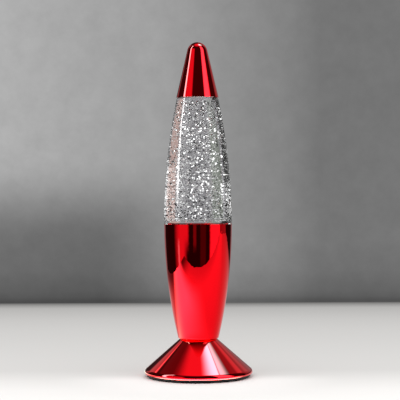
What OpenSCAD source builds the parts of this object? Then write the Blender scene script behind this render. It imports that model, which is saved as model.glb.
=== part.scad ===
// Rocket-shaped glitter lamp, battery powered, about 190 mm tall.
// Millimetres, +Z up, origin at the centre of the face it stands on.

/* [Silhouette] */
// Largest radius of the foot, at its rounded lip
foot_r = 30.8; // [30.4:0.1:31.4]
// Height of the foot's deck, on which the sleeve stands
foot_h = 21.6; // [21.4:0.1:22.4]
// Radius of the foot's top edge
waist_r = 10.5; // [10.4:0.1:11]
// Radius of the upper part of the lip's rounding
lip_r = 2.4; // [1.8:0.1:2.6]
// Radius of the lip's rounding underneath
lip_under_r = 1; // [0.8:0.1:1.2]
// Height of the metallised sleeve above the deck
sleeve_h = 65.4; // [65:0.1:69]
// Radius that the sleeve's curve comes down to at the deck
sleeve_foot_r = 11.4; // [11.2:0.1:12]
// Radius at the seam between the sleeve and the clear globe
seam_r = 19.3; // [19:0.1:20]
// Height of the clear globe above the seam
globe_h = 71.6; // [68:0.1:75]
// Radius of the globe under the cap
globe_top_r = 11.6; // [11.4:0.1:12]
// Height of the cap
cap_h = 31.4; // [30:0.1:34]
// Radius of the cap's rounded tip
tip_r = 5.8; // [5.4:0.1:6.4]

/* [Walls] */
// Wall of the foot shell
foot_wall = 1.4; // [1.2:0.1:1.4]
// Wall of the sleeve
sleeve_wall = 1.3; // [1.2:0.1:1.4]
// Wall of the clear globe
globe_wall = 2; // [1.8:0.1:2]
// Wall of the cap
cap_wall = 1.4; // [1.2:0.1:1.4]

/* [Moving parts] */
// Travel of the slide switch's knob
switch_travel = 2; // [1.6:0.1:2]

/* [Glitter] */
// How many flakes float in the liquid
flake_count = 90; // [20:10:120]
// Corner radius of a flake
flake_r = 0.7; // [0.4:0.1:0.8]

/* [Hidden] */
$fn = 96;
ARC_FN = 256;   // for the long, shallow curves
EPS = 0.01;

// Heights of the main seams
seam_z = foot_h + sleeve_h;
cap_z = seam_z + globe_h;
top_z = cap_z + cap_h;

// A curve that leaves the seam vertically and falls in by sag over height h
function arc_radius(h, sag) = (h * h + sag * sag) / (2 * sag);
function arc_r(r0, R, d) = r0 - R + sqrt(R * R - d * d);
sleeve_R = arc_radius(sleeve_h, seam_r - sleeve_foot_r);
globe_R = arc_radius(globe_h, seam_r - globe_top_r);

// Foot: a straight cone, tangent to the circle of the lip's upper part
pad_h = 1;
pad_r = 28.9;
pad_in_r = 24.6;
plate_r = foot_r - 1.4;
plate_bottom = 0.6;
flange_top = 1.8;
plate_top = 2.4;
lip_x = foot_r - lip_r;
under_x = foot_r - lip_under_r;
lip_z = flange_top + lip_under_r;
cone_dx = lip_x - waist_r;
cone_dz = foot_h - lip_z;
cone_angle = atan2(cone_dz, cone_dx) - asin(lip_r / norm([cone_dx, cone_dz]));
lip_top = [lip_x + lip_r * sin(cone_angle), lip_z + lip_r * cos(cone_angle)];
deck_t = 1.5;
deck_bottom = foot_h - deck_t;
rim_r = foot_r - 3.2;                    // radius of the foot's lower opening
function cone_r(z) = waist_r + (foot_h - z) / tan(cone_angle);
function cone_z(r) = foot_h - (r - waist_r) * tan(cone_angle);

// Screws
shank_r = 0.95;
hole_r = 1.25;
head_r = 1.9;
sleeve_screw_r = 6.6;                    // radius of the circle that the sleeve's screws lie on
sleeve_screw_angles = [30, 150, 270];
base_screw_r = 21;
base_screw_angles = [30, 150, 270];
boss_top = 3.6;                          // top of the base plate's bosses, where the foot's posts start
wire_hole_r = 2.6;

// Battery tray: three button cells in a row along X
cell_r = 5.8;
cell_t = 5.4;
cell_z = 8;
tray_x = 11.2;
tray_y = 6.2;
tray_wall = 1.3;
tray_roof = 14.2;
tray_top = 15.4;
contact_t = 0.4;
stack_end = tray_x - 2 * contact_t;      // the positive face of the last cell
stack_start = stack_end - 3 * cell_t;    // the negative face of the first cell
tab_z = 11.3;                            // the solder tabs' underside
tab_x = 13.8;

// Battery door and its screw
door_x = 12.6;
door_y = 7.4;
door_tongue = 18.6;
tongue_y = 3.2;
recess_top = 1.9;
door_bottom = 0.7;
door_gap = 0.15;
door_screw_x = 15.6;

// Slide switch
switch_y = 18.5;
can = [8.6, 4.4, 3.8];
can_top = plate_top + can[2];
pin_h = 2;
pin_pitch = 2.5;

// Light unit inside the sleeve
carrier_z = seam_z - 22.2;
carrier_r = seam_r - 2.5;
carrier_t = 1.6;
ledge_z = carrier_z + 3.2;
board_r = 9.4;
board_t = 1;
board_top = ledge_z + board_t;
seat_top = carrier_z + 4.6;
led_r = 2.5;
reflector_hole_r = 3.3;
reflector_top_r = 14.2;
reflector_z0 = board_top + 1.6;
reflector_z1 = seam_z - 2.2;
reflector_wall = 0.8;

// Globe
floor_z = seam_z + 1.6;
floor_t = 2.4;
skirt_depth = 8.8;
skirt_r = seam_r - 1.8;
skirt_in_r = skirt_r - 1.7;
shoulder_z = cap_z - 2;
neck_r = 7.4;
neck_bore_r = 5.6;
neck_top = cap_z + 7.9;
cavity_fillet = 1.5;
shoulder_fillet = 0.8;
gap = 0.05;                              // between pieces that fit in each other

// Cap: a cone, tangent to the tip's sphere
cap_r = globe_top_r + 0.4;
tip_z = top_z - tip_r;
cap_rise = tip_z - cap_z;
cap_angle = atan2(cap_r, cap_rise) - asin(tip_r / norm([cap_r, cap_rise]));

// ---------------------------------------------------------------- outlines

// The half-plane outline inside a long curve that is vertical at the seam
module barrel(R, inset, z1, z2)
    intersection() {
        translate([seam_r - R, seam_z]) circle(R - inset, $fn = ARC_FN);
        translate([0, z1]) square([seam_r + 1, z2 - z1]);
    }

// A block of half width r whose lower outer corner is rounded
module round_foot(r, z, fillet) {
    translate([0, z]) square([r - fillet, fillet]);
    translate([r - fillet, z])
        intersection() {
            translate([0, fillet]) circle(fillet);
            square([fillet, fillet]);
        }
}

// What the globe can hold, shrunk by an inset on every side
module cavity(inset) {
    R = globe_R;
    z0 = floor_z + inset;
    z1 = z0 + cavity_fillet;
    round_foot(arc_r(seam_r, R, z1 - seam_z) - globe_wall - inset, z0, cavity_fillet);
    barrel(R, globe_wall + inset, z1, shoulder_z - inset);
}

// The cap's outer form, shrunk by an inset
module cap_form(inset) {
    nx = cos(cap_angle);
    nz = sin(cap_angle);
    r = tip_r - inset;
    tangent = [r * nx, tip_z + r * nz];
    base = cap_r - inset / nx;
    polygon([[0, cap_z], [base, cap_z], tangent, [0, tangent[1]]]);
    intersection() {
        translate([0, tip_z]) circle(r);
        translate([0, tangent[1]]) square([tip_r, tip_r]);
    }
}

// The foot's inside as a solid outline, with the wall between it and the outer cone
module foot_inside(wall, top) {
    shift = wall / sin(cone_angle);
    polygon([
        [0, flange_top], [rim_r, flange_top],
        [rim_r, cone_z(rim_r + shift)],
        [cone_r(top) - shift, top], [0, top]
    ]);
}

module rounded_plate(size, r, h)
    linear_extrude(h) {
        square([size[0] - 2 * r, size[1]], center = true);
        square([size[0], size[1] - 2 * r], center = true);
        for (x = [-1, 1], y = [-1, 1])
            translate([x * (size[0] / 2 - r), y * (size[1] / 2 - r)]) circle(r);
    }

module ring(r_out, r_in, h)
    difference() {
        cylinder(h = h, r = r_out);
        translate([0, 0, -1]) cylinder(h = h + 2, r = r_in);
    }

module box(from, to)
    translate(from) cube(to - from);

module around(radius, angles)
    for (a = angles) rotate([0, 0, a]) translate([radius, 0, 0]) children();

// A pan-head screw that points up, with the head's top face at z = 0 and below
module screw(length, head = head_r, head_h = 1.2, shank = shank_r) {
    difference() {
        translate([0, 0, -head_h]) cylinder(h = head_h, r = head);
        for (a = [0, 90])
            rotate([0, 0, a])
                translate([-head * 0.6, -0.2, -head_h - 1])
                    cube([head * 1.2, 0.4, 1 + head_h * 0.5]);
    }
    cylinder(h = length - shank, r = shank);
    translate([0, 0, length - shank]) cylinder(h = shank, r1 = shank, r2 = 0.3);
}

// ---------------------------------------------------------------- swept tubes

function spline_at(a, b, c, d, t) =
    0.5 * (2 * b + (c - a) * t + (2 * a - 5 * b + 4 * c - d) * t * t
           + (3 * b - 3 * c + d - a) * t * t * t);
function smooth(p, steps) = let (n = len(p) - 1) concat(
    [for (i = [0 : n - 1], k = [0 : steps - 1])
        spline_at(p[max(i - 1, 0)], p[i], p[i + 1], p[min(i + 2, n)], k / steps)],
    [p[n]]);
function unit(v) = v / norm(v);
function heading(p, i) = unit(p[min(i + 1, len(p) - 1)] - p[max(i - 1, 0)]);

// A round tube along a path; side is a direction that the path never runs in
module tube(path, r, side, sides = 8) {
    n = len(path);
    rings = [for (i = [0 : n - 1])
        let (t = heading(path, i), u = unit(cross(t, side)), v = cross(t, u))
            for (k = [0 : sides - 1])
                path[i] + r * (u * cos(360 * k / sides) + v * sin(360 * k / sides))];
    walls = [for (i = [0 : n - 2], k = [0 : sides - 1])
        [i * sides + k, (i + 1) * sides + k,
         (i + 1) * sides + (k + 1) % sides, i * sides + (k + 1) % sides]];
    first = [for (k = [0 : sides - 1]) k];
    last = [for (k = [sides - 1 : -1 : 0]) (n - 1) * sides + k];
    polyhedron(rings, concat(walls, [first, last]), convexity = 8);
}

// ---------------------------------------------------------------- foot

module foot_pad()
    color("dimgray") ring(pad_r, pad_in_r, pad_h);

module base_plate()
    color("black") difference() {
        union() {
            translate([0, 0, plate_bottom]) cylinder(h = flange_top - plate_bottom, r = plate_r);
            translate([0, 0, flange_top]) cylinder(h = plate_top - flange_top, r = rim_r - 0.2);
            translate([0, 0, plate_top]) ring(rim_r - 0.2, rim_r - 1.5, 1.6);
            around(base_screw_r, base_screw_angles) cylinder(h = boss_top, r = 3.2);
            box([-tray_x - tray_wall, -tray_y - tray_wall + 0.1, plate_top - EPS],
                [tray_x + tray_wall, tray_y + tray_wall - 0.1, tray_top]);
            translate([door_screw_x, 0, plate_top - EPS]) cylinder(h = 6, r = 2.6);
            for (x = [-1, 1])
                translate([x * (can[0] / 2 + 0.7), switch_y, plate_top + 1.2])
                    cube([1.2, can[1], 2.4 + EPS], center = true);
        }
        // groove for the pad
        ring(pad_r + 0.1, pad_in_r - 0.1, pad_h);
        // the bosses and the groove stand on nothing below the plate
        translate([0, 0, -1]) cylinder(h = plate_bottom + 1, r = foot_r);
        // tray, with slots for the two solder tabs
        box([-tray_x, -tray_y, 0], [tray_x, tray_y, tray_roof]);
        box([-tray_x - 2, -1.3, tab_z - 0.1], [tray_x + 2, 1.3, tab_z + contact_t + 0.1]);
        // recess and pilot hole for the door
        translate([0, 0, plate_bottom - 1]) {
            rounded_plate([2 * door_x, 2 * door_y], 1.5, recess_top - plate_bottom + 1);
            box([0, -tongue_y, 0], [door_tongue - 1, tongue_y, recess_top - plate_bottom + 1]);
            translate([door_tongue - tongue_y, 0, 0])
                cylinder(h = recess_top - plate_bottom + 1, r = tongue_y);
        }
        translate([door_screw_x, 0, 0]) cylinder(h = 7.4, r = shank_r);
        // screw holes, counterbored
        around(base_screw_r, base_screw_angles) {
            cylinder(h = boss_top + 1, r = hole_r);
            cylinder(h = 2, r = head_r + 0.2);
        }
        // dish and slot for the switch
        translate([0, switch_y, 0]) rounded_plate([12, 6.4], 2, 1.3);
        translate([0, switch_y, 1]) cube([switch_travel + 2.6, 2, 4], center = true);
    }

module base_screws()
    color("silver") around(base_screw_r, base_screw_angles)
        translate([0, 0, 2]) screw(7.4);

module foot()
    color("crimson") difference() {
        union() {
            difference() {
                rotate_extrude() {
                    polygon([
                        [0, flange_top], [under_x, flange_top], [under_x, lip_z], [lip_x, lip_z],
                        lip_top, [waist_r, foot_h], [0, foot_h]
                    ]);
                    // the lip's upper arc, up to where the cone starts, and its arc underneath
                    intersection() {
                        translate([lip_x, lip_z]) circle(lip_r);
                        polygon([[lip_x, lip_z], [foot_r + 2, lip_z], [foot_r + 2, lip_z + 5],
                                 2 * lip_top - [lip_x, lip_z]]);
                    }
                    intersection() {
                        translate([under_x, lip_z]) circle(lip_under_r);
                        translate([under_x, flange_top]) square(lip_under_r);
                    }
                }
                rotate_extrude() foot_inside(foot_wall, deck_bottom);
            }
            intersection() {
                around(base_screw_r, base_screw_angles)
                    translate([0, 0, boss_top]) cylinder(h = 12, r = 2.4);
                rotate_extrude() foot_inside(foot_wall / 2, deck_bottom);
            }
        }
        translate([0, 0, deck_bottom - 1]) {
            cylinder(h = deck_t + 2, r = wire_hole_r);
            around(sleeve_screw_r, sleeve_screw_angles) cylinder(h = deck_t + 2, r = hole_r);
        }
        around(base_screw_r, base_screw_angles) cylinder(h = boss_top + 6.2, r = shank_r);
    }

// ---------------------------------------------------------------- battery

module door_outline(h) {
    inset = door_gap;
    rounded_plate([2 * (door_x - inset), 2 * (door_y - inset)], 1.4, h);
    box([0, -tongue_y + inset, 0], [door_tongue - tongue_y, tongue_y - inset, h]);
    translate([door_tongue - tongue_y, 0, 0]) cylinder(h = h, r = tongue_y - inset);
}

module battery_door()
    color("black") translate([0, 0, door_bottom]) difference() {
        door_outline(recess_top - gap - door_bottom);
        translate([door_screw_x, 0, -1]) {
            cylinder(h = 3, r = shank_r + 0.1);
            cylinder(h = 1.8, r = 2);
        }
        for (i = [0:3])
            box([-10.6 + 1.4 * i, -4, -1], [-9.9 + 1.4 * i, 4, 0.3]);
    }

module door_screw()
    color("silver") translate([door_screw_x, 0, door_bottom + 0.8])
        screw(5.4, 1.8, 0.75);

// One button cell: a crimped can with its smaller negative face towards -X
module button_cell(i)
    color("gainsboro")
        translate([stack_start + cell_t * i, 0, cell_z]) rotate([0, 90, 0])
            rotate_extrude()
                polygon([
                    [0, 0], [4.5, 0], [4.7, 0.35], [5.2, 0.35], [5.25, 0.6], [cell_r - 0.2, 0.7],
                    [cell_r, 1], [cell_r, cell_t - 0.3], [cell_r - 0.3, cell_t], [0, cell_t]
                ]);

// A strip that stands against the tray's end wall, with a tab through the wall
module contact(side) {
    x0 = side * tray_x;
    x1 = side * (tray_x - contact_t);
    box([min(x0, x1), -4.5, cell_z - 4.5], [max(x0, x1), 4.5, cell_z + 4.5]);
    box([min(side * tab_x, x1), -1.1, tab_z], [max(side * tab_x, x1), 1.1, tab_z + contact_t]);
}

spring_turns = 3.5;
spring_wire = 0.3;
module contact_spring()
    color("silver") {
        x0 = -tray_x + contact_t;
        x1 = stack_start - spring_wire;
        steps = 14 * spring_turns;
        contact(-1);
        tube([for (i = [0 : steps])
                let (s = i / steps, r = 3.6 - 1.3 * s, a = 360 * spring_turns * s)
                    [x0 + (x1 - x0) * s, r * cos(a), cell_z + r * sin(a)]],
             spring_wire, [1, 0, 0], 6);
    }

module contact_plate()
    color("silver") {
        contact(1);
        translate([stack_end, 0, cell_z]) rotate([0, 90, 0])
            cylinder(h = contact_t, r1 = 1.6, r2 = 2.2);
    }

// ---------------------------------------------------------------- switch

module switch_housing()
    color("lightgray") difference() {
        translate([0, switch_y, plate_top + can[2] / 2]) cube(can, center = true);
        translate([0, switch_y, plate_top]) cube([7.2, 3, 2.8], center = true);
    }

module switch_pins()
    color("gold") for (x = [-1, 0, 1])
        translate([x * pin_pitch, switch_y, can_top + pin_h / 2]) cube([1, 0.4, pin_h], center = true);

module switch_knob()
    color("white") translate([-switch_travel / 2, switch_y, 0]) difference() {
        union() {
            box([-0.95, -0.75, 0.8], [0.95, 0.75, 2.6]);
            box([-2.2, -1.3, 2.5], [2.2, 1.3, 3.6]);
        }
        for (x = [-0.6, 0, 0.6])
            box([x - 0.12, -1, 0], [x + 0.12, 1, 0.95]);
    }

// ---------------------------------------------------------------- leads

lead_r = 0.6;
pin_top = can_top + pin_h;
tab_top = tab_z + contact_t;
board_bottom = ledge_z;

// From the positive contact to the switch's outer pin
module lead_battery()
    color("red") tube(smooth([
        [13.2, 0, tab_top], [13.2, 0, 12.6], [13.6, 1, 13.6], [13.6, 4.5, 13.8],
        [12.8, 8.8, 13], [9.5, 12, 12.2], [4.8, 16, 11.4], [2.7, 18.3, 10.2],
        [2.5, 18.5, 9], [2.5, 18.5, pin_top]
    ], 4), lead_r, [1, 1, 0]);

// From the switch's middle pin up through the sleeve to the board
module lead_red()
    color("red") tube(smooth([
        [0, 18.5, pin_top], [0, 18.4, 10], [0.2, 16, 12.6], [0.6, 11.5, 15.2], [1, 7, 16.9],
        [1.3, 2.6, 17.3], [1.3, 0.6, 19], [1.3, 0, 23], [1.9, -0.8, 30], [2.6, -1.6, 38],
        [2.4, -0.8, 48], [1.7, 0.3, 57], [1.3, 0, 64], [1.3, 0, board_bottom]
    ], 3), lead_r, [1, 0, 0]);

// From the spring contact up through the sleeve to the board
module lead_black()
    color("dimgray") tube(smooth([
        [-13.2, 0, tab_top], [-13.4, 0, 13.6], [-13.2, 0, 15.7], [-11.4, 0, 17], [-5, 0, 17.1],
        [-1.9, 0, 18], [-1.3, 0, 20], [-1.3, 0, 24], [-2.2, 0, 31], [-2.8, 0, 40],
        [-2.4, 0, 50], [-1.6, 0, 58], [-1.3, 0, 64], [-1.3, 0, board_bottom]
    ], 3), lead_r, [0, 1, 0]);

// ---------------------------------------------------------------- sleeve

sleeve_fillet = 1.3;
sleeve_floor = 1.5;
rib_angles = [90, 210, 330];

module sleeve()
    color("crimson") difference() {
        union() {
            difference() {
                z1 = foot_h + sleeve_fillet;
                rotate_extrude() {
                    round_foot(arc_r(seam_r, sleeve_R, seam_z - z1), foot_h, sleeve_fillet);
                    barrel(sleeve_R, 0, z1, seam_z);
                }
                rotate_extrude()
                    barrel(sleeve_R, sleeve_wall, foot_h + sleeve_floor, seam_z + 1);
            }
            around(sleeve_screw_r, sleeve_screw_angles)
                translate([0, 0, foot_h + 1]) cylinder(h = 6, r = 2.1);
            intersection() {
                around(0, rib_angles)
                    box([10, -0.6, foot_h + 26], [seam_r, 0.6, carrier_z]);
                difference() {
                    rotate_extrude() barrel(sleeve_R, sleeve_wall / 2, foot_h + 20, carrier_z);
                    cylinder(h = seam_z, r = 13.8);
                }
            }
        }
        cylinder(h = foot_h + 4, r = wire_hole_r);
        around(sleeve_screw_r, sleeve_screw_angles) cylinder(h = foot_h + 6, r = shank_r);
    }

module sleeve_screws()
    color("silver") around(sleeve_screw_r, sleeve_screw_angles)
        translate([0, 0, deck_bottom]) screw(7);

// ---------------------------------------------------------------- light unit

board_screw_x = 6.4;

module led_carrier()
    color("white") translate([0, 0, carrier_z]) difference() {
        union() {
            cylinder(h = carrier_t, r = carrier_r);
            ring(10.6, 8.2, seat_top - carrier_z);
            for (x = [-1, 1]) translate([x * board_screw_x, 0, 0]) cylinder(h = 3.2, r = 1.7);
        }
        translate([0, 0, -1]) cylinder(h = carrier_t + 2, r = 3);
        translate([0, 0, ledge_z - carrier_z]) cylinder(h = 5, r = board_r + 0.1);
        for (x = [-1, 1]) translate([x * board_screw_x, 0, 0.6]) cylinder(h = 6, r = 0.8);
    }

module led_board()
    color("seagreen") translate([0, 0, ledge_z]) difference() {
        cylinder(h = board_t, r = board_r);
        for (x = [-1, 1]) translate([x * board_screw_x, 0, -1]) cylinder(h = 3, r = 0.9);
        for (y = [-1, 1]) translate([0, y * 1.27, -1]) cylinder(h = 3, r = 0.35);
    }

module board_screws()
    color("silver") for (x = [-1, 1])
        translate([x * board_screw_x, 0, board_top]) mirror([0, 0, 1]) screw(3.2, 1.5, 0.9, 0.75);

module led_resistor()
    color("black") translate([0, 5.4, board_top + 0.3]) cube([3.2, 1.6, 0.6], center = true);

// A 5 mm lens with its flange and two legs
module led()
    color("white", 0.7) translate([0, 0, board_top]) {
        cylinder(h = 1, r = led_r + 0.4);
        cylinder(h = 6.1, r = led_r);
        translate([0, 0, 6.1]) intersection() {
            sphere(led_r);
            cylinder(h = led_r + 1, r = led_r + 1);
        }
        for (y = [-1, 1]) translate([0, y * 1.27, -2.2]) cylinder(h = 2.2 + EPS, r = 0.25);
    }

module reflector()
    color("whitesmoke") rotate_extrude() {
        slope = (reflector_z1 - reflector_z0) / (reflector_top_r - reflector_hole_r);
        drop = reflector_wall * norm([1, slope]);
        polygon([
            [reflector_hole_r, reflector_z0], [reflector_hole_r + drop / slope, reflector_z0],
            [reflector_top_r + drop / slope, reflector_z1], [reflector_top_r, reflector_z1]
        ]);
        // the collar that stands on the carrier's ring
        collar_top = reflector_z0 + (9.7 - reflector_hole_r) * slope;
        polygon([
            [9.7, seat_top], [10.5, seat_top], [10.5, collar_top],
            [9.7 + reflector_wall / 4, collar_top], [9.7, collar_top - drop / 2]
        ]);
    }

// ---------------------------------------------------------------- globe

module globe()
    color("lightcyan", 0.4) rotate_extrude() difference() {
        union() {
            barrel(globe_R, 0, seam_z, cap_z - shoulder_fillet);
            translate([globe_top_r - shoulder_fillet, cap_z - shoulder_fillet])
                intersection() {
                    circle(shoulder_fillet);
                    square(shoulder_fillet);
                }
            translate([0, cap_z - shoulder_fillet])
                square([globe_top_r - shoulder_fillet, shoulder_fillet]);
            translate([0, seam_z - skirt_depth]) square([skirt_r, skirt_depth]);
            translate([0, cap_z]) square([neck_r, neck_top - cap_z]);
        }
        cavity(0);
        translate([0, shoulder_z - 1]) square([neck_bore_r, neck_top]);
        translate([0, seam_z - skirt_depth - 1])
            square([skirt_in_r, skirt_depth + 1 + floor_z - floor_t - seam_z]);
    }

module liquid()
    color("azure", 0.3) rotate_extrude() cavity(gap);

// Flakes on a spiral through the liquid, each tilted its own way
module glitter()
    color("silver") {
        z0 = floor_z + 3;
        z1 = shoulder_z - 3;
        for (i = [0 : flake_count - 1]) {
            s = (i + 0.5) / flake_count;
            z = z0 + (z1 - z0) * s;
            room = arc_r(seam_r, globe_R, z - seam_z) - globe_wall - 1.4;
            r = room * sqrt((i * 0.618034) % 1);
            rotate([0, 0, i * 137.508]) translate([r, 0, z])
                rotate([(i * 67) % 180, (i * 101) % 180, 0])
                    cylinder(h = 0.1, r = flake_r, center = true, $fn = 6);
        }
    }

module neck_stopper()
    color("white") {
        translate([0, 0, neck_top - 6.5]) cylinder(h = 6.5 + 0.8, r = neck_bore_r - gap);
        translate([0, 0, neck_top + 0.8]) cylinder(h = 1.4, r = neck_r - 0.2);
    }

module stopper_gasket()
    color("gray") translate([0, 0, neck_top]) ring(neck_r - 0.1, neck_bore_r - gap, 0.8);

// ---------------------------------------------------------------- cap

module top_cap()
    color("crimson") {
        difference() {
            rotate_extrude() cap_form(0);
            rotate_extrude() cap_form(cap_wall);
        }
        intersection() {
            around(0, [0, 90, 180, 270])
                box([neck_r + 0.1, -0.5, cap_z + 1], [cap_r, 0.5, cap_z + 7.4]);
            rotate_extrude() cap_form(cap_wall / 2);
        }
    }

foot_pad();
base_plate();
base_screws();
foot();
battery_door();
door_screw();
contact_spring();
contact_plate();
for (i = [0:2])
    button_cell(i);
switch_housing();
switch_pins();
switch_knob();
lead_battery();
lead_red();
lead_black();
sleeve();
sleeve_screws();
led_carrier();
led_board();
board_screws();
led_resistor();
led();
reflector();
globe();
liquid();
glitter();
neck_stopper();
stopper_gasket();
top_cap();
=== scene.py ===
import math
import random

import bmesh
import bpy
from mathutils import Matrix, Vector


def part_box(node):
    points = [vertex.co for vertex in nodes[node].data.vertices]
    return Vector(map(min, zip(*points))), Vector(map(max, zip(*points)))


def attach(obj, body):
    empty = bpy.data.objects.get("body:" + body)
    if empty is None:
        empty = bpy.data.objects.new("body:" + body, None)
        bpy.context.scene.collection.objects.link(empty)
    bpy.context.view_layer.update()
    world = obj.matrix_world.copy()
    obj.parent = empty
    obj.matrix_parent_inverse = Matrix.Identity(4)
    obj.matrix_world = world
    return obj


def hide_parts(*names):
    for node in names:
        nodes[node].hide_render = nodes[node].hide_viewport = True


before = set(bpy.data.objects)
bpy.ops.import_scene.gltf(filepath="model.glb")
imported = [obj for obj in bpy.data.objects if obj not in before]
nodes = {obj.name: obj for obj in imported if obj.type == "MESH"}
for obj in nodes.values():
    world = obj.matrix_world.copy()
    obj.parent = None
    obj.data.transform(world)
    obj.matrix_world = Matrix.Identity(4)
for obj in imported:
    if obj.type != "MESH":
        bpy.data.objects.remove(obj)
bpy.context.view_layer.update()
MM = 0.001


# ---------------------------------------------------------------- node trees


class Tree:
    """Short calls for building a node tree."""

    def __init__(self, tree):
        self.t = tree
        tree.nodes.clear()

    def node(self, kind, inputs=None, **props):
        n = self.t.nodes.new(kind)
        for k, v in props.items():
            setattr(n, k, v)
        for k, v in (inputs or {}).items():
            self.put(n.inputs[k], v)
        return n

    def put(self, socket, v):
        if isinstance(v, bpy.types.NodeSocket):
            self.t.links.new(v, socket)
        elif isinstance(v, bpy.types.Node):
            self.t.links.new(v.outputs[0], socket)
        else:
            socket.default_value = v

    def math(self, op, a, b=0.0, c=0.0):
        return self.node("ShaderNodeMath", {0: a, 1: b, 2: c}, operation=op).outputs[0]

    def ramp(self, v, lo, hi, out_lo=0.0, out_hi=1.0, smooth=True):
        return self.node(
            "ShaderNodeMapRange",
            {"Value": v, "From Min": lo, "From Max": hi, "To Min": out_lo, "To Max": out_hi},
            interpolation_type="SMOOTHSTEP" if smooth else "LINEAR",
        ).outputs[0]

    def window(self, v, lo, hi, soft):
        """1 between lo and hi, 0 outside, with edges soft wide."""
        up = self.ramp(v, lo - soft / 2, lo + soft / 2)
        down = self.ramp(v, hi - soft / 2, hi + soft / 2, 1.0, 0.0)
        return self.math("MULTIPLY", up, down)

    def mix(self, factor, a, b):
        """Between two colours, which are the node's inputs 6 and 7."""
        n = self.node("ShaderNodeMix", data_type="RGBA")
        self.put(n.inputs[0], factor)
        self.put(n.inputs[6], a)
        self.put(n.inputs[7], b)
        return n.outputs[2]

    def noise(self, where, scale, detail=3.0, rough=0.5):
        return self.node(
            "ShaderNodeTexNoise",
            {"Vector": where, "Scale": scale, "Detail": detail, "Roughness": rough},
        ).outputs[0]

    def bump(self, height, strength, distance):
        ins = {"Height": height, "Strength": strength, "Distance": distance}
        return self.node("ShaderNodeBump", ins).outputs[0]

    def times(self, *factors):
        total = factors[0]
        for f in factors[1:]:
            total = self.math("MULTIPLY", total, f)
        return total

    def tones(self, v, stops, tint=(1, 1, 1)):
        """A colour ramp over v, from (position, level) pairs, each level times the tint."""
        ramp = self.node("ShaderNodeValToRGB", {0: v})
        el = ramp.color_ramp.elements
        el[0].position, el[1].position = stops[0][0], stops[-1][0]
        for pos, _ in stops[1:-1]:
            el.new(pos)
        for e, (pos, level) in zip(el, stops):
            e.position = pos
            e.color = (*(level * c for c in tint), 1)
        return ramp.outputs[0]


def material(name, build, **sockets):
    """A Principled material: constants go on its sockets, build() links the patterned ones."""
    m = bpy.data.materials.new(name)
    m.use_nodes = True
    t = Tree(m.node_tree)
    p = t.node("ShaderNodeBsdfPrincipled")
    for k, v in sockets.items():
        p.inputs[k.replace("_", " ")].default_value = v
    t.node("ShaderNodeOutputMaterial", {"Surface": p})
    build(t, p, t.node("ShaderNodeTexCoord").outputs["Object"])
    return m


def dress(mat, *names):
    for n in names:
        data = nodes[n].data
        data.materials.clear()
        data.materials.append(mat)


# ---------------------------------------------------------------- materials


def red_metal(t, p, where):
    """Red lacquer over vacuum metal: a mirror with the moulding's faint waviness. No other piece
    reflects perfectly sharply, so the studio and the table can tell its reflections apart."""
    wide = t.noise(where, 45.0, 1.0)
    t.put(p.inputs["Base Color"], t.mix(wide, (0.96, 0.0036, 0.009, 1), (0.92, 0.0044, 0.011, 1)))
    t.put(p.inputs["Normal"], t.bump(wide, 0.03, 0.0006))


def clear_skin(t, p, where):
    """Polished clear plastic."""
    wide = t.noise(where, 70.0, 1.0)
    t.put(p.inputs["Roughness"], t.ramp(wide, 0.3, 0.8, 0.006, 0.014, False))
    t.put(p.inputs["Normal"], t.bump(wide, 0.02, 0.0003))


def wetted_skin(t, p, where):
    """The inner face of the clear plastic, with the liquid against it."""
    t.put(p.inputs["Roughness"], t.ramp(t.noise(where, 70.0, 1.0), 0.3, 0.8, 0.005, 0.008, False))


def flake_skin(t, p, where):
    """Metallised film with a faint grain, which spreads its mirror's light a little."""
    cell = t.noise(where, 700.0, 1.0)
    t.put(p.inputs["Base Color"], t.mix(cell, (0.97, 0.97, 0.96, 1), (0.90, 0.91, 0.93, 1)))
    t.put(p.inputs["Roughness"], t.ramp(cell, 0.3, 0.7, 0.28, 0.33, False))


def moulded(colour, other, rough=(0.45, 0.62)):
    """Moulded plastic or rubber: finely grained, and a little cloudy between two colours."""

    def build(t, p, where):
        grain = t.noise(where, 2600.0, 4.0, 0.6)
        cloud = t.noise(where, 140.0, 3.0)
        t.put(p.inputs["Base Color"], t.mix(cloud, colour, other))
        t.put(p.inputs["Roughness"], t.ramp(grain, 0.3, 0.75, rough[0], rough[1], False))
        t.put(p.inputs["Normal"], t.bump(grain, 0.35, 0.00004))

    return build


def metal(colour, other, rough=(0.2, 0.38)):
    """Bare or plated metal with a drawn grain."""

    def build(t, p, where):
        cloud = t.noise(where, 420.0, 3.0)
        lines = t.node(
            "ShaderNodeMapping", {"Vector": where, "Scale": (1.0, 1.0, 9.0)}
        ).outputs[0]
        grain = t.noise(lines, 2400.0, 3.0, 0.6)
        t.put(p.inputs["Base Color"], t.mix(cloud, colour, other))
        t.put(p.inputs["Roughness"], t.ramp(grain, 0.3, 0.75, rough[0], rough[1], False))
        t.put(p.inputs["Normal"], t.bump(grain, 0.15, 0.00002))

    return build


def foam_skin(t, p, where):
    """Black foam rubber with small open cells."""
    cells = t.node("ShaderNodeTexVoronoi", {"Vector": where, "Scale": 1900.0}).outputs[0]
    t.put(p.inputs["Base Color"], t.mix(cells, (0.005, 0.005, 0.005, 1), (0.014, 0.014, 0.014, 1)))
    t.put(p.inputs["Roughness"], t.ramp(cells, 0.0, 0.8, 0.95, 0.75, False))
    t.put(p.inputs["Normal"], t.bump(cells, 0.5, 0.00008))


def water_skin(t, p, where):
    """Hardly there: the bending of light at the liquid's face is on the globe's wetted wall."""
    tint = t.noise(where, 50.0, 2.0)
    t.put(p.inputs["Base Color"], t.mix(tint, (0.90, 0.95, 0.96, 1), (0.94, 0.97, 0.97, 1)))


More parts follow.
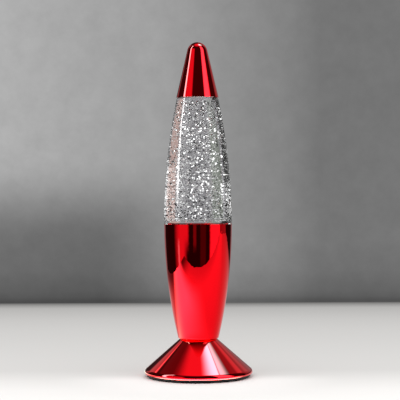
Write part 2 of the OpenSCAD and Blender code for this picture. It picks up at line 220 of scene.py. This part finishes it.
def board_skin(t, p, where):
    """Green solder resist over copper tracks."""
    tracks = t.node(
        "ShaderNodeTexBrick",
        {"Vector": where, "Scale": 260.0, "Mortar Size": 0.03, "Color1": (0, 0, 0, 1),
         "Color2": (0, 0, 0, 1), "Mortar": (1, 1, 1, 1)},
    ).outputs[0]
    t.put(p.inputs["Base Color"], t.mix(tracks, (0.010, 0.11, 0.035, 1), (0.03, 0.22, 0.08, 1)))
    t.put(p.inputs["Roughness"], t.ramp(t.noise(where, 900.0), 0.3, 0.7, 0.25, 0.4, False))
    t.put(p.inputs["Normal"], t.bump(tracks, 0.4, 0.00004))


# The resistor's own dark colour, also the painted shade of the dark flakes
RESISTOR_BLACK_AND_FLAKE_SHADE = ((0.01, 0.01, 0.012, 1), (0.03, 0.03, 0.03, 1))

RED = material("red_metallised", red_metal, Metallic=1.0, Roughness=0.0)
CLEAR = material("clear_acrylic", clear_skin, Base_Color=(0.985, 0.99, 0.985, 1),
                 Transmission_Weight=1.0, IOR=1.49)
WETTED = material("acrylic_to_water", wetted_skin, Base_Color=(1, 1, 1, 1),
                  Transmission_Weight=1.0, IOR=1.12)
FLAKE = material("silver_flake", flake_skin, Metallic=1.0)
SHADED_FLAKE = material("shaded_flake", moulded(*RESISTOR_BLACK_AND_FLAKE_SHADE, (0.3, 0.4)))
BLACK = material("black_abs", moulded((0.0065, 0.006, 0.006, 1), (0.011, 0.01, 0.01, 1)),
                 Specular_IOR_Level=0.3)
WHITE = material("white_abs",
                 moulded((0.80, 0.80, 0.77, 1), (0.86, 0.86, 0.84, 1), (0.3, 0.5)))
GASKET = material("grey_rubber",
                  moulded((0.05, 0.05, 0.052, 1), (0.08, 0.08, 0.08, 1), (0.6, 0.8)))
RESISTOR = material("resistor_body", moulded(*RESISTOR_BLACK_AND_FLAKE_SHADE, (0.3, 0.5)))
FOAM = material("foam", foam_skin, Specular_IOR_Level=0.0)
STEEL = material("zinc_steel", metal((0.62, 0.63, 0.66, 1), (0.74, 0.73, 0.70, 1)), Metallic=1.0)
NICKEL = material("nickel", metal((0.70, 0.69, 0.66, 1), (0.78, 0.77, 0.75, 1), (0.14, 0.28)),
                  Metallic=1.0)
GOLD = material("brass_pin", metal((0.72, 0.52, 0.22, 1), (0.80, 0.62, 0.30, 1)), Metallic=1.0)
BOARD = material("solder_resist", board_skin)
LENS = material("led_epoxy", clear_skin, Base_Color=(0.97, 0.97, 0.95, 1),
                Transmission_Weight=1.0, IOR=1.53)
PVC_RED = material("red_pvc",
                   moulded((0.45, 0.01, 0.01, 1), (0.55, 0.02, 0.015, 1), (0.35, 0.5)))
PVC_BLACK = material("black_pvc",
                     moulded((0.014, 0.014, 0.014, 1), (0.03, 0.03, 0.03, 1), (0.35, 0.5)))
WATER = material("water", water_skin, Alpha=0.02, Roughness=0.0, IOR=1.0)

dress(RED, "foot", "sleeve", "top_cap")
dress(BLACK, "base_plate", "battery_door", "switch_knob")
dress(STEEL, "base_screws", "door_screw", "sleeve_screws", "board_screws", "contact_spring",
      "contact_plate", "switch_housing")
dress(NICKEL, "button_cell_1", "button_cell_2", "button_cell_3")
dress(GOLD, "switch_pins")
dress(WHITE, "led_carrier", "reflector", "neck_stopper")
dress(GASKET, "stopper_gasket")
dress(RESISTOR, "led_resistor")
dress(BOARD, "led_board")
dress(LENS, "led")
dress(PVC_RED, "lead_battery", "lead_red")
dress(PVC_BLACK, "lead_black")
dress(WATER, "liquid")


# ---------------------------------------------------------------- meshes


def arc(cx, cz, r, a0, a1, steps):
    """Points of an arc in the half plane, angles in degrees from +X."""
    return [
        (cx + r * math.cos(math.radians(a0 + (a1 - a0) * i / steps)),
         cz + r * math.sin(math.radians(a0 + (a1 - a0) * i / steps)))
        for i in range(steps + 1)
    ]


def finished(bm, name, mats):
    """An object in the scene made of the bmesh, which is used up."""
    me = bpy.data.meshes.new(name)
    bm.to_mesh(me)
    bm.free()
    for m in mats:
        me.materials.append(m)
    o = bpy.data.objects.new(name, me)
    bpy.context.scene.collection.objects.link(o)
    return o


TURNS = 160          # sides of a round piece
SHARP = 28.0         # degrees; edges over this stay crisp


def lathe(name, profile, mats):
    """A closed solid of revolution. profile is a list of ((r, z) in mm, material number);
    a point on the axis has r 0."""
    bm = bmesh.new()
    rings = []
    for (r, z), _ in profile:
        if r < 1e-6:
            rings.append([bm.verts.new((0, 0, z * MM))])
        else:
            rings.append([
                bm.verts.new((r * MM * math.cos(2 * math.pi * k / TURNS),
                              r * MM * math.sin(2 * math.pi * k / TURNS), z * MM))
                for k in range(TURNS)
            ])
    n = len(profile)
    for i in range(n):
        a, b = rings[i], rings[(i + 1) % n]
        if len(a) == 1 and len(b) == 1:
            continue
        for k in range(TURNS):
            j = (k + 1) % TURNS
            if len(a) == 1:
                f = bm.faces.new((a[0], b[j], b[k]))
            elif len(b) == 1:
                f = bm.faces.new((a[k], a[j], b[0]))
            else:
                f = bm.faces.new((a[k], a[j], b[j], b[k]))
            f.material_index = profile[i][1]
            f.smooth = True
    bmesh.ops.recalc_face_normals(bm, faces=bm.faces)
    for e in bm.edges:
        e.smooth = len(e.link_faces) < 2 or e.calc_face_angle(0) < math.radians(SHARP)
    return finished(bm, name, mats)


# ---------------------------------------------------------------- globe

# Sizes in mm: walls, corners and the neck, then what follows from the CAD nodes' boxes
WALL = 2.0
FLOOR_WALL = 2.4
FLOOR_CORNER = 1.5
SHOULDER = 0.8
NECK_R = 7.4
NECK_BORE_R = 5.6
STOPPER_DEPTH = 6.5
COLUMN_STEPS = 72
CORNER_STEPS = 8

globe_lo, globe_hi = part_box("globe")
cap_lo, cap_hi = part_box("top_cap")
_, sleeve_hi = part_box("sleeve")
seam_r = sleeve_hi.x / MM
seam_z = sleeve_hi.z / MM
cap_z = cap_lo.z / MM
neck_top = globe_hi.z / MM
skirt_bottom = globe_lo.z / MM
skirt_r = seam_r - 1.8
skirt_in_r = seam_r - 3.5
top_r = cap_hi.x / MM - 0.4                # the cap's rim stands out a little over it
roof_z = cap_z - WALL
floor_z = seam_z + 1.6
# The wall is an arc that is upright at the seam and meets the cap at top_r
swell_r = ((cap_z - seam_z) ** 2 + (seam_r - top_r) ** 2) / (2 * (seam_r - top_r))


def globe_r(z, inset=0.0):
    """Radius of the globe's wall at a height, or of a line inset from it."""
    r = swell_r - inset
    return seam_r - swell_r + math.sqrt(r * r - (z - seam_z) ** 2)


def column(z0, z1, inset=0.0):
    """Points up or down the wall."""
    heights = [z0 + (z1 - z0) * i / COLUMN_STEPS for i in range(COLUMN_STEPS + 1)]
    return [(globe_r(z, inset), z) for z in heights]


outer = [(skirt_in_r, skirt_bottom), (skirt_r, skirt_bottom), (skirt_r, seam_z)]
outer += column(seam_z, cap_z - SHOULDER)
outer += arc(top_r - SHOULDER, cap_z - SHOULDER, SHOULDER, 0, 90, CORNER_STEPS)[1:]
outer += [(NECK_R, cap_z), (NECK_R, neck_top), (NECK_BORE_R, neck_top)]
wet = [(NECK_BORE_R, neck_top - STOPPER_DEPTH), (NECK_BORE_R, roof_z),
       (globe_r(roof_z, WALL), roof_z)]
wet += column(roof_z, floor_z + FLOOR_CORNER, WALL)[1:]
corner_r = wet[-1][0]
wet += arc(corner_r - FLOOR_CORNER, floor_z + FLOOR_CORNER, FLOOR_CORNER, 0, -90, CORNER_STEPS)[1:]
wet += [(0, floor_z)]
dry = [(0, floor_z - FLOOR_WALL), (skirt_in_r, floor_z - FLOOR_WALL)]
profile = [(p, 0) for p in outer] + [(p, 1) for p in wet] + [(p, 0) for p in dry]
globe = lathe("globe_shell", profile, [CLEAR, WETTED])
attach(globe, "globe")
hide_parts("globe")


# ---------------------------------------------------------------- glitter

FLAKE_COUNT = 3600
FLAKE_SIZES = (0.34, 0.38, 0.42, 0.46)     # radius to a corner, mm
FLAKE_HALF = 0.02                          # half a flake's thickness
FLAKE_GAP = 0.15                           # room kept between a flake and the wall
END_GAP = 0.7                              # and between a flake's middle and the floor or the roof
THINNING = 0.25                            # share of the flakes that are missing at the top
DARK_SHARE = 0.22                          # share of flakes painted dark as painted shade, from DARK_TO of the height up
DARK_TO = 0.2
DARK_SLOPE = 1.5                           # how fast that share grows from there to the floor


def flakes(count, seed):
    """Hexagonal flakes of metallised film, adrift in the liquid and denser near its floor."""
    rng = random.Random(seed)
    bm = bmesh.new()
    z0, z1 = floor_z + END_GAP, roof_z - END_GAP
    made = 0
    while made < count:
        s = rng.random()
        if rng.random() > 1.0 - THINNING * s:
            continue
        z = z0 + (z1 - z0) * s
        size = rng.choice(FLAKE_SIZES)
        room = globe_r(z, WALL) - size - FLAKE_GAP
        r = room * math.sqrt(rng.random())
        a = rng.random() * 2 * math.pi
        at = Vector((r * math.cos(a), r * math.sin(a), z)) * MM
        turn = Matrix.Rotation(rng.random() * 2 * math.pi, 3, "Z")
        turn = Matrix.Rotation(math.acos(1 - 2 * rng.random()), 3, "X") @ turn
        turn = Matrix.Rotation(rng.random() * 2 * math.pi, 3, "Z") @ turn
        rims = []
        for side in (-FLAKE_HALF, FLAKE_HALF):
            rims.append([
                bm.verts.new(at + turn @ Vector((size * math.cos(math.pi * k / 3),
                                                 size * math.sin(math.pi * k / 3), side)) * MM)
                for k in range(6)
            ])
        low, high = rims
        faces = [bm.faces.new(high), bm.faces.new(low[::-1])]
        for k in range(6):
            j = (k + 1) % 6
            faces.append(bm.faces.new((low[k], low[j], high[j], high[k])))
        # Painted shade: a share of the flakes, more near the floor, are dark in place of flakes
        # that reflect dark surroundings
        shade = int(rng.random() < DARK_SHARE + DARK_SLOPE * max(0.0, DARK_TO - s))
        for f in faces:
            f.material_index = shade
        made += 1
    return finished(bm, "glitter_flakes", [FLAKE, SHADED_FLAKE])


glitter = flakes(FLAKE_COUNT, 5)
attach(glitter, "globe")
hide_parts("glitter")

# ---------------------------------------------------------------- foam ring

# It lies under the base plate and is soft at its edges; sizes in mm
PAD_EDGE = 0.35
PAD_IN_R = 24.6
PAD_STEPS = 6
_, pad_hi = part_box("foot_pad")
out_x = pad_hi.x / MM - PAD_EDGE
in_x = PAD_IN_R + PAD_EDGE
high_z = pad_hi.z / MM - PAD_EDGE
section = arc(out_x, PAD_EDGE, PAD_EDGE, -90, 0, PAD_STEPS)
section += arc(out_x, high_z, PAD_EDGE, 0, 90, PAD_STEPS)
section += arc(in_x, high_z, PAD_EDGE, 90, 180, PAD_STEPS)
section += arc(in_x, PAD_EDGE, PAD_EDGE, 180, 270, PAD_STEPS)
foam_ring = lathe("foam_ring", [(p, 0) for p in section], [FOAM])
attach(foam_ring, "base")
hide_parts("foot_pad")

# ---------------------------------------------------------------- camera

CAMERA_AT = (0.0012, -0.8161, 0.1135)
CAMERA_DIP = 0.917           # degrees below the horizon
CAMERA_ROLL = -0.23
CAMERA_LENS = 129.2          # mm, on a 36 mm sensor

camera = bpy.data.objects.new("camera", bpy.data.cameras.new("camera"))
bpy.context.scene.collection.objects.link(camera)
bpy.context.scene.camera = camera
camera.data.sensor_width = 36.0
camera.data.lens = CAMERA_LENS
camera.matrix_world = (
    Matrix.Translation(CAMERA_AT)
    @ Matrix.Rotation(math.radians(90 - CAMERA_DIP), 4, "X")
    @ Matrix.Rotation(math.radians(CAMERA_ROLL), 4, "Z")
)

# ---------------------------------------------------------------- table

TABLE_LO = (-0.32, -0.28, -0.02)
TABLE_HI = (1.30, 0.48, 0.0)
# Painted light and shade on the table along its depth, palest before the lamp: (place from its
# front edge to its back edge, level)
TABLE_PAINTED_LIGHT = ((0.0, 0.64), (0.06, 0.70), (0.16, 0.93), (0.30, 0.83), (0.345, 0.75), (0.40, 0.63),
               (0.46, 0.615), (0.61, 0.56), (0.70, 0.53), (0.80, 0.485), (0.88, 0.43),
               (0.93, 0.395), (0.955, 0.31), (0.98, 0.215), (1.0, 0.10))


def table_skin(t, p, where):
    """Pale board with painted light and shade, palest before the lamp; the red mirrors also see a
    painted sheen on it.
    """
    x, y, _ = t.node("ShaderNodeSeparateXYZ", {0: where}).outputs
    along = t.ramp(y, TABLE_LO[1], TABLE_HI[1], smooth=False)
    far_off = t.node("ShaderNodeVectorMath", {0: where}, operation="LENGTH").outputs["Value"]
    pale = t.tones(along, TABLE_PAINTED_LIGHT, (1, 0.985, 0.965))
    # Painted light: the table is paler round the front of the lamp, where the lamp's shadow would
    # fall
    lit = t.times(t.ramp(far_off, 0.085, 0.030, 0.0, 0.9), t.ramp(y, 0.01, -0.02))
    pale = t.mix(lit, pale, (0.95, 0.94, 0.925, 1))
    path = t.node("ShaderNodeLightPath").outputs
    # Painted shade: the far left is darker, but only in reflections
    painted_left_shade = t.times(t.ramp(x, -0.12, -0.30), path["Is Glossy Ray"])
    t.put(p.inputs["Base Color"], t.mix(painted_left_shade, pale, (0.10, 0.098, 0.095, 1)))
    t.put(p.inputs["Roughness"], t.ramp(t.noise(where, 60.0), 0.3, 0.7, 0.45, 0.6, False))
    # A painted sheen: the table glows for the red mirrors' reflections alone, left of the lamp and
    # round its lip
    left_painted_sheen = t.times(t.window(y, -0.14, 0.03, 0.10), t.ramp(x, 0.06, -0.12, 0.0, 11.0),
                         t.ramp(far_off, 0.036, 0.060))
    lip_painted_sheen = t.times(t.ramp(far_off, 0.040, 0.032), t.ramp(y, -0.014, -0.032, 0.0, 42.0))
    sheen = t.math("ADD", left_painted_sheen, lip_painted_sheen)
    direct = t.math("SUBTRACT", 1.0, t.math("MINIMUM", path["Diffuse Depth"], 1.0))
    not_through = t.math("SUBTRACT", 1.0, path["Is Transmission Ray"])
    mirrored = t.times(path["Is Singular Ray"], direct, not_through)
    t.put(p.inputs["Emission Strength"], t.times(sheen, mirrored))


def slab(name, lo, hi, mat):
    """A box of the set, from one corner to the other."""
    bm = bmesh.new()
    bmesh.ops.create_cube(bm, size=1.0)
    for v in bm.verts:
        v.co = Vector([lo[i] + (hi[i] - lo[i]) * (v.co[i] + 0.5) for i in range(3)])
    o = finished(bm, name, [mat])


# Emission_Color is the colour of the table's painted sheen
TABLE = material("table_white", table_skin, Emission_Color=(0.25, 1, 0.74, 1),
                 Specular_IOR_Level=0.0)
TABLE.cycles.emission_sampling = "NONE"
slab("table", TABLE_LO, TABLE_HI, TABLE)


# ---------------------------------------------------------------- studio

# The set's lights are soft panels on the world's sphere. What a ray meets there depends on its
# kind: the camera's own, a reflection, one that has come through the globe, or a diffuse one.
DEGREES = math.degrees(1)

world = bpy.data.worlds.new("studio")
bpy.context.scene.world = world
world.use_nodes = True
world.cycles.sampling_method = "NONE"
bpy.context.scene.view_settings.view_transform = "Standard"
w = Tree(world.node_tree)
path = w.node("ShaderNodeLightPath")
direction = w.node("ShaderNodeTexCoord").outputs["Generated"]
dx, dy, dz = w.node("ShaderNodeSeparateXYZ", {0: direction}).outputs
# Directions from the lamp in degrees. front and back both grow towards the camera's right, from
# 0 at the camera and 0 at the wall behind the lamp; rise is the height above the horizon.
front = w.times(w.math("ARCTAN2", dx, w.times(dy, -1.0)), DEGREES)
back = w.times(w.math("ARCTAN2", dx, dy), DEGREES)
rise = w.times(w.math("ARCSINE", dz), DEGREES)
# Colours of the lights that the red mirrors alone see. They hold little red, because a mirror
# that swallows green and blue shows all of a strong light's red, and its glare would spread.
HOT = (0.02, 1, 0.48)
HOT_RIGHT = (0.04, 1, 0.6)
HOT_ABOVE = (0.02, 1, 0.62)


def glow(light, colour=(1, 1, 1)):
    """light, a number socket, times a colour."""
    return w.node("ShaderNodeVectorMath", {0: colour, 1: light}, operation="MULTIPLY").outputs[0]


def add(*parts):
    """The sum of colours."""
    total = parts[0]
    for p in parts[1:]:
        total = w.node("ShaderNodeVectorMath", {0: total, 1: p}, operation="ADD").outputs[0]
    return total


def panel(a0, a1, e0, e1, soft, level, around=front):
    """An oblong light: from a0 to a1 of front, back or another bearing, from e0 to e1 of rise."""
    return w.times(w.window(around, a0, a1, soft), w.window(rise, e0, e1, soft), level)


def spot(bearing, height, radius, soft, level):
    """A round light. bearing is counted as front is, and height as rise is."""
    b, h = math.radians(bearing), math.radians(height)
    toward = (math.sin(b) * math.cos(h), -math.cos(b) * math.cos(h), math.sin(h))
    cosine = w.node("ShaderNodeVectorMath", {0: direction, 1: toward},
                    operation="DOT_PRODUCT").outputs["Value"]
    angle = w.times(w.math("ARCCOSINE", cosine), DEGREES)
    return w.times(w.ramp(angle, radius, radius + soft, 1.0, 0.0), level)


# What the mirror parts and the globe's skin reflect
lean = w.math("ADD", front, w.times(rise, 0.33))
upper_lobe = w.times(spot(107, 71, 1, 16, 125.0), w.ramp(rise, 66.0, 68.5))
lower_lobe = w.times(spot(113, 65, 0.5, 12, 75.0), w.ramp(rise, 65.5, 67.0, 1.0, 0.0))
low_cut = w.times(w.ramp(front, -54, -36), w.ramp(rise, -4, -10))
left_box = w.times(panel(-88, -33.5, -30, 38, 10, 0.80), w.math("SUBTRACT", 1.0, low_cut),
                   w.ramp(front, -94, -62))
# The softboxes' hot parts, as the red mirrors show them and as everything else does
edge = panel(-78.5, -69, 3, 60, 5, 1.0, lean)
hot = add(
    glow(w.times(edge, 130.0), HOT),
    glow(panel(-73, -67, -12, -6, 3, 14.0), HOT),
    glow(panel(44, 76, 10, 60, 8, 13.0), HOT_RIGHT),
    glow(w.math("ADD", upper_lobe, lower_lobe), HOT_ABOVE),     # the lamp overhead
)
mild = glow(w.times(edge, 15.0), (1, 0.97, 0.96))
hot = w.mix(path.outputs["Is Singular Ray"], mild, hot)
studio = add(
    glow(w.ramp(rise, 4, 20, 0.016, 0.042)),
    glow(left_box),
    hot,
    glow(panel(42.5, 80, -30, 60, 10, 1.45)),          # right softbox
    glow(panel(84, 108, -7, 4, 4, 0.30)),
    glow(panel(-16, -6, -8, 3, 4, 0.16)),              # faint bars on the camera's side
    glow(panel(8, 27, -14, 4, 6, 0.05)),
    glow(panel(-34, 30, -9, 4, 6, 0.25, back)),        # wall behind, low down
    glow(panel(3, 58, 6, 58, 6, 0.27, back)),          # wall behind, to the right
    glow(panel(-44, -28, 6, 38, 5, 0.24, back)),       # and a lit strip of it to the left
    glow(panel(-44, -28, 22, 36, 5, 0.25, back)),
    glow(panel(-70, -44, 42, 64, 6, 0.09, back)),
    glow(spot(-139.5, 35.5, 0.5, 2, 1.3)),
    glow(spot(137, 39, 2, 6, 0.38)),
    glow(spot(148, 26, 2, 6, 0.15)),
    glow(spot(0, 90, 11, 20, 0.95)),                   # ceiling
)

# What is seen through the globe, and what the flakes in it reflect
sparkle = add(
    glow(panel(-85, -40, -12, 55, 4, 3.8)),
    glow(panel(28, 80, -22, 60, 4, 3.8)),
    glow(panel(-45, 28, 42, 86, 5, 3.8)),
)
met_a_flake = w.math("MINIMUM", path.outputs["Glossy Depth"], 1.0)
through = add(
    (0.010, 0.010, 0.010),
    glow(panel(-31, 65, -20, 60, 6, 0.27, back), (1.0, 0.97, 1.03)),
    glow(panel(22, 46, -10, 34, 4, 0.24, back), (1.0, 0.38, 0.18)),
    glow(panel(54, 90, -45, 65, 6, 0.2, back)),
    glow(panel(-26, -12, -6, 24, 4, -0.09, back), (0.8, 0.5, 1.0)),
    glow(panel(-90, -47, -10, 40, 4, 0.10, back)),
    glow(w.ramp(w.math("ABSOLUTE", back), 85, 105, 0.0, 0.3)),
    w.mix(met_a_flake, (0, 0, 0, 1), sparkle),
)

# What the camera sees behind the lamp: a grey wall with painted light, brightest at its left, and
# painted shade low down and at its lower left
across = w.tones(w.ramp(back, -8.0, 8.0, smooth=False),
                 ((0.0, 0.434), (0.27, 0.372), (0.4, 0.352), (0.6, 0.266), (0.7, 0.235),
                  (0.8, 0.178), (1.0, 0.178)))
upward = w.tones(w.ramp(rise, -5.2, -0.8, smooth=False),
                 ((0.0, 0.40), (0.07, 0.47), (0.105, 0.61), (0.16, 0.72), (0.25, 0.80),
                  (0.34, 0.895), (0.48, 0.95), (0.61, 1.0), (1.0, 1.0)))
wall = w.node("ShaderNodeVectorMath", {0: across, 1: upward}, operation="MULTIPLY").outputs[0]
# Painted shade at the wall's lower left
corner = w.times(w.ramp(back, 1.6, -4.4), w.ramp(rise, 1.0, -2.5))
plaster = w.ramp(w.noise(direction, 70.0, 5.0, 0.65), 0.25, 0.75, 0.93, 1.07, False)
shade = w.times(w.math("MULTIPLY_ADD", corner, -0.62, 1.0), plaster)
far = w.ramp(w.math("ABSOLUTE", back), 12.0, 30.0)
backdrop = w.mix(far, glow(shade, wall), (0.30, 0.297, 0.298, 1))

dome = w.ramp(rise, -2, 12, 0.3, 1.22)             # what lights the table and the dull pieces
light = w.mix(path.outputs["Is Transmission Ray"], studio, through)
# Light thrown back onto the table and the base by the mirror parts is kept faint
spill = w.ramp(path.outputs["Diffuse Depth"], 0.0, 1.0, 1.0, 0.3, False)
light = w.node("ShaderNodeVectorMath", {0: light, 1: spill}, operation="MULTIPLY").outputs[0]
light = w.mix(path.outputs["Is Diffuse Ray"], light, dome)
light = w.mix(path.outputs["Is Camera Ray"], light, backdrop)
background = w.node("ShaderNodeBackground", {"Color": light, "Strength": 1.0})
w.node("ShaderNodeOutputWorld", {"Surface": background})
